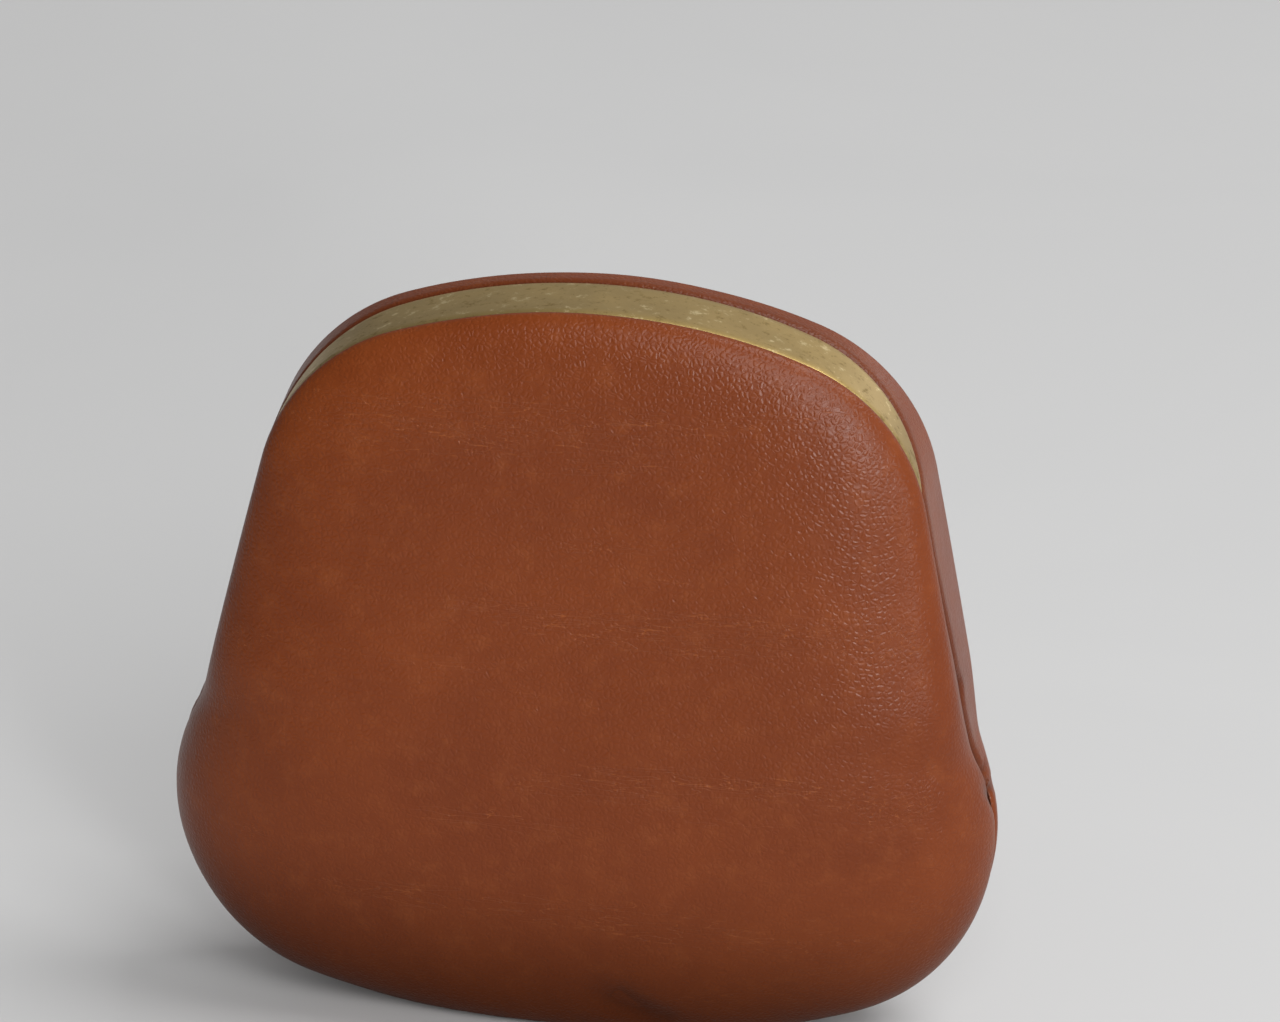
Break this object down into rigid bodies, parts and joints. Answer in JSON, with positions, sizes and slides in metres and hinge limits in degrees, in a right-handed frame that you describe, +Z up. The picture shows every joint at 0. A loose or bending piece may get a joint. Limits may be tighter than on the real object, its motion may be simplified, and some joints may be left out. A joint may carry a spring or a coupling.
{
  "type": "coin purse",
  "caption": "Leather-covered snap-frame coin purse with a soft rounded pouch, whose hinged brass mouth opens front and rear together.",
  "frame": {"origin": "centre of the flat base the purse stands on", "axes": "+X to the right across the hinges, -Y the front, +Z up"},
  "size_m": [0.0978, 0.032, 0.09],
  "materials": {
    "tan_leather": "smooth cognac leather, fine grain, satin",
    "lining_leather": "thin undyed split, matte",
    "binding_leather": "thin strip, matte",
    "board": "grey-brown stiffener board",
    "brass": "brushed and tarnished, matte speckled",
    "hinge_steel": "nickelled steel",
    "thread": "waxed polyester thread"
  },
  "bodies": {
    "pouch": {"pouch_front": "tan_leather", "pouch_rear": "tan_leather", "pouch_lining_front": "lining_leather", "pouch_lining_rear": "lining_leather", "seam_binding": "binding_leather", "seam_stitches": "thread", "front_fold": "tan_leather", "rear_fold": "tan_leather"},
    "front_half": {"front_frame": "brass", "front_cover": "tan_leather", "front_lining": "lining_leather", "front_stiffener": "board"},
    "rear_half": {"rear_frame": "brass", "rear_cover": "tan_leather", "rear_lining": "lining_leather", "rear_stiffener": "board", "left_hinge_rivet": "hinge_steel", "right_hinge_rivet": "hinge_steel", "left_hinge_washer": "hinge_steel", "right_hinge_washer": "hinge_steel"}
  },
  "joints": [
    {"name": "front_open", "type": "hinge", "parent": "pouch", "child": "front_half", "pos_m": [0, 0, 0.046], "axis": [1, 0, 0], "range_deg": [0, 35], "deforming": ["front_fold"]},
    {"name": "rear_open", "type": "hinge", "parent": "pouch", "child": "rear_half", "pos_m": [0, 0, 0.046], "axis": [1, 0, 0], "range_deg": [-35, 0], "deforming": ["rear_fold"]}
  ],
  "couplings": [
    {"joint": "rear_open", "follows": "front_open", "ratio": -1}
  ]
}
